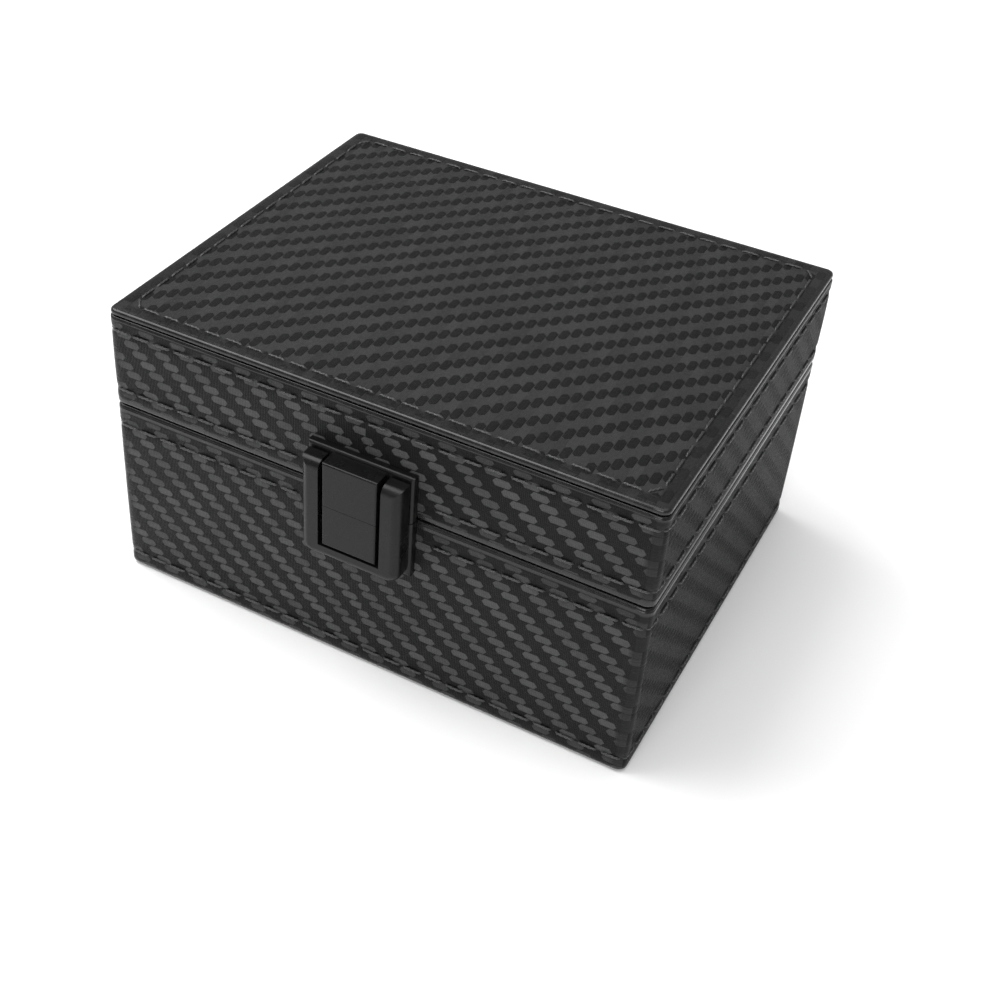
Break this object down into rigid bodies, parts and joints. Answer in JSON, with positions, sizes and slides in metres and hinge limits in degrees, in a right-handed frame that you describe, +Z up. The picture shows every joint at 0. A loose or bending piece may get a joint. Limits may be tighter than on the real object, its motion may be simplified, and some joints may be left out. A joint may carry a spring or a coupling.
{
  "type": "watch winder box",
  "caption": "Leather-covered box with a hinged lid and a push-button clasp; inside, geared leaning cups with pillows turn self-winding watches.",
  "frame": {"origin": "middle of the felt rest face under the box", "axes": "+X to the right along the width, -Y towards the front with the clasp, +Z up"},
  "size_m": [0.18, 0.1583, 0.1],
  "materials": {
    "leather": "satin embossed",
    "board": "raw fibreboard",
    "felt": "felt",
    "velvet": "velvet",
    "clasp_black": "matte black",
    "steel": "brushed",
    "brass": "turned",
    "plastic": "moulded",
    "gear_white": "moulded",
    "circuit": "circuit board",
    "rubber": "sheath",
    "hinge_black": "satin black"
  },
  "bodies": {
    "base": {"base_felt": "felt", "base_floor": "board", "base_front_wall": "board", "base_left_wall": "board", "base_lining": "velvet", "base_rear_wall": "board", "base_right_wall": "board", "base_wrap": "leather", "bearing_plate": "plastic", "button_spring": "steel", "clasp_frame": "clasp_black", "clasp_plate": "clasp_black", "clasp_screws": "steel", "control_board": "circuit", "drive_motor": "steel", "hinge_base_screws": "steel", "jack_nut": "steel", "left_bush": "brass", "left_cheek": "board", "left_hinge_base_leaf": "hinge_black", "left_hinge_pin": "steel", "left_standoff": "steel", "mode_switch": "plastic", "motor_lead": "rubber", "motor_screws": "steel", "power_jack": "plastic", "power_lead": "rubber", "rear_cover": "velvet", "right_bush": "brass", "right_cheek": "board", "right_hinge_base_leaf": "hinge_black", "right_hinge_pin": "steel", "right_standoff": "steel", "winder_deck": "velvet"},
    "lid": {"hinge_lid_screws": "steel", "left_hinge_lid_leaf": "hinge_black", "lid_board": "board", "lid_front_wall": "board", "lid_left_wall": "board", "lid_lining": "velvet", "lid_rear_wall": "board", "lid_right_wall": "board", "lid_strike": "clasp_black", "lid_top_panel": "leather", "lid_wrap": "leather", "right_hinge_lid_leaf": "hinge_black", "strike_screws": "steel"},
    "button": {"clasp_button": "clasp_black"},
    "left_winder": {"left_cup": "plastic", "left_shaft": "steel", "left_shaft_clip": "steel", "left_gear": "gear_white", "left_pillow": "velvet"},
    "right_winder": {"right_cup": "plastic", "right_shaft": "steel", "right_shaft_clip": "steel", "right_gear": "gear_white", "right_pillow": "velvet"},
    "drive_pinion": {"motor_pinion": "gear_white"},
    "knob": {"mode_knob": "plastic"}
  },
  "joints": [
    {"name": "lid_hinge", "type": "hinge", "parent": "base", "child": "lid", "pos_m": [0, 0.075, 0.0657], "axis": [-1, 0, 0], "range_deg": [0, 100]},
    {"name": "button_press", "type": "slide", "parent": "base", "child": "button", "axis": [0, 1, 0], "range_m": [0, 0.0015], "stiffness_N_per_m": 400},
    {"name": "left_turn", "type": "hinge", "parent": "base", "child": "left_winder", "pos_m": [-0.04014, 0, 0.061], "axis": [0, -0.5736, 0.8192], "continuous": true},
    {"name": "right_turn", "type": "hinge", "parent": "base", "child": "right_winder", "pos_m": [0.04014, 0, 0.061], "axis": [0, -0.5736, 0.8192], "continuous": true},
    {"name": "motor_turn", "type": "hinge", "parent": "base", "child": "drive_pinion", "pos_m": [0, 0, 0.061], "axis": [0, -0.5736, 0.8192], "continuous": true},
    {"name": "knob_turn", "type": "hinge", "parent": "base", "child": "knob", "pos_m": [0, 0.053, 0.0825], "axis": [0, 0, 1], "range_deg": [-135, 135]}
  ],
  "couplings": [
    {"joint": "right_turn", "follows": "left_turn", "ratio": 1},
    {"joint": "motor_turn", "follows": "left_turn", "ratio": -3}
  ]
}
